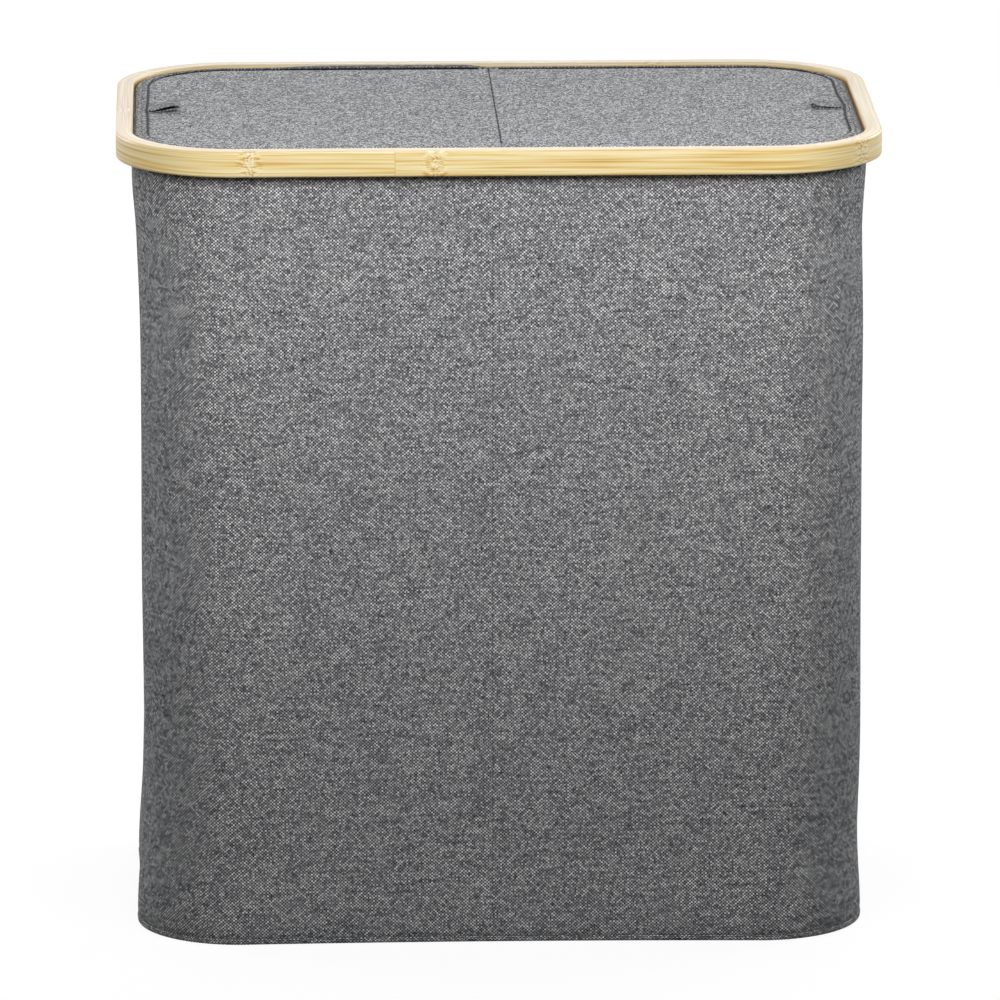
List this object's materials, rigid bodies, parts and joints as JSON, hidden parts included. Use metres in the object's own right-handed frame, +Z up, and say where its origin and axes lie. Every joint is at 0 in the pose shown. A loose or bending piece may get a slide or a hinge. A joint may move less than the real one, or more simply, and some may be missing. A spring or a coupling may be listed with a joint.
{
  "type": "laundry hamper with two bins",
  "caption": "Rectangular cloth laundry hamper with a bent bamboo rim, flap lids hinged at the middle and lift-out bags on a crossbar.",
  "frame": {"origin": "on the floor, under the middle of the hamper", "axes": "+Z up, +X along the long side with the right bin at +X, -Y towards the front"},
  "size_m": [0.56, 0.365, 0.5986],
  "materials": {
    "bamboo": "satin lacquer",
    "inner_bamboo": "sanded",
    "grey_cloth": "woven, two-tone",
    "inner_cloth": "woven, coated",
    "bag_cloth": "plain weave",
    "webbing": "ribbed webbing",
    "fibreboard": "raw",
    "steel": "zinc plated",
    "black_plastic": "moulded"
  },
  "bodies": {
    "hamper_body": {"rim_ring": "bamboo", "clamp_hoop": "inner_bamboo", "ledge_hoop": "inner_bamboo", "cloth_body": "grey_cloth", "bottom_binding": "grey_cloth", "bottom_cloth": "inner_cloth", "base_envelope": "inner_cloth", "crossbar": "inner_bamboo", "hinge_strip": "grey_cloth", "divider": "inner_cloth", "hoop_screw_1": "steel", "hoop_screw_2": "steel", "hoop_screw_3": "steel", "hoop_screw_4": "steel", "hoop_screw_5": "steel", "hoop_screw_6": "steel", "hoop_screw_7": "steel", "hoop_screw_8": "steel", "crossbar_screw_1": "steel", "crossbar_screw_2": "steel", "base_board_left": "fibreboard", "bag_left": "bag_cloth", "bag_rod_left": "steel", "base_board_right": "fibreboard", "bag_right": "bag_cloth", "bag_rod_right": "steel", "pole_front_left": "steel", "pole_foot_front_left": "black_plastic", "pole_cap_front_left": "black_plastic", "pole_sleeve_front_left": "inner_cloth", "pole_front_right": "steel", "pole_foot_front_right": "black_plastic", "pole_cap_front_right": "black_plastic", "pole_sleeve_front_right": "inner_cloth", "pole_back_left": "steel", "pole_foot_back_left": "black_plastic", "pole_cap_back_left": "black_plastic", "pole_sleeve_back_left": "inner_cloth", "pole_back_right": "steel", "pole_foot_back_right": "black_plastic", "pole_cap_back_right": "black_plastic", "pole_sleeve_back_right": "inner_cloth"},
    "lid_left": {"lid_cover_left": "grey_cloth", "lid_board_left": "fibreboard", "lid_lining_left": "inner_cloth"},
    "tab_left": {"pull_tab_left": "grey_cloth"},
    "handle_left_front": {"bag_handle_left_front": "webbing"},
    "handle_left_back": {"bag_handle_left_back": "webbing"},
    "lid_right": {"lid_cover_right": "grey_cloth", "lid_board_right": "fibreboard", "lid_lining_right": "inner_cloth"},
    "tab_right": {"pull_tab_right": "grey_cloth"},
    "handle_right_front": {"bag_handle_right_front": "webbing"},
    "handle_right_back": {"bag_handle_right_back": "webbing"}
  },
  "joints": [
    {"name": "lid_left_hinge", "type": "hinge", "parent": "hamper_body", "child": "lid_left", "pos_m": [0, 0, 0.5935], "axis": [0, 1, 0], "range_deg": [0, 82]},
    {"name": "lid_right_hinge", "type": "hinge", "parent": "hamper_body", "child": "lid_right", "pos_m": [0, 0, 0.5935], "axis": [0, -1, 0], "range_deg": [0, 82]},
    {"name": "tab_left_flip", "type": "hinge", "parent": "lid_left", "child": "tab_left", "pos_m": [-0.2566, -0.008, 0.5938], "axis": [0, -1, 0], "range_deg": [0, 95]},
    {"name": "tab_right_flip", "type": "hinge", "parent": "lid_right", "child": "tab_right", "pos_m": [0.2566, -0.008, 0.5938], "axis": [0, 1, 0], "range_deg": [0, 95]},
    {"name": "handle_left_front_swing", "type": "hinge", "parent": "hamper_body", "child": "handle_left_front", "pos_m": [-0.1103, -0.1508, 0.5765], "axis": [-1, 0, 0], "range_deg": [-82, 0]},
    {"name": "handle_left_back_swing", "type": "hinge", "parent": "hamper_body", "child": "handle_left_back", "pos_m": [-0.1103, 0.1508, 0.5765], "axis": [1, 0, 0], "range_deg": [-82, 0]},
    {"name": "handle_right_front_swing", "type": "hinge", "parent": "hamper_body", "child": "handle_right_front", "pos_m": [0.1103, -0.1508, 0.5765], "axis": [-1, 0, 0], "range_deg": [-82, 0]},
    {"name": "handle_right_back_swing", "type": "hinge", "parent": "hamper_body", "child": "handle_right_back", "pos_m": [0.1103, 0.1508, 0.5765], "axis": [1, 0, 0], "range_deg": [-82, 0]}
  ]
}
